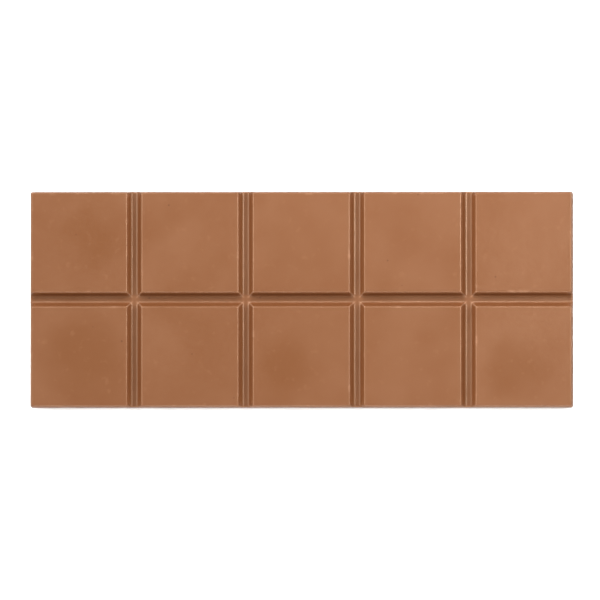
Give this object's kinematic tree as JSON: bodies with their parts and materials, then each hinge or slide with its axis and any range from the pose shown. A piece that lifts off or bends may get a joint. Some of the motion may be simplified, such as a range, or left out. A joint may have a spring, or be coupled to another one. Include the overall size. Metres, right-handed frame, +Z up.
{
  "type": "chocolate bar",
  "caption": "Moulded bar of plain milk chocolate in large flat squares with deep rounded break grooves between them and a flat back to lie on.",
  "frame": {"origin": "middle of the flat back that the bar lies on", "axes": "+X along the bar's length, +Y across its width, +Z up through the squares"},
  "size_m": [0.18, 0.0716, 0.0064],
  "materials": {
    "milk_chocolate": "satin milk chocolate with a faint mottle and small moulding marks"
  },
  "bodies": {
    "root": {"chocolate_bar": "milk_chocolate"}
  },
  "joints": []
}
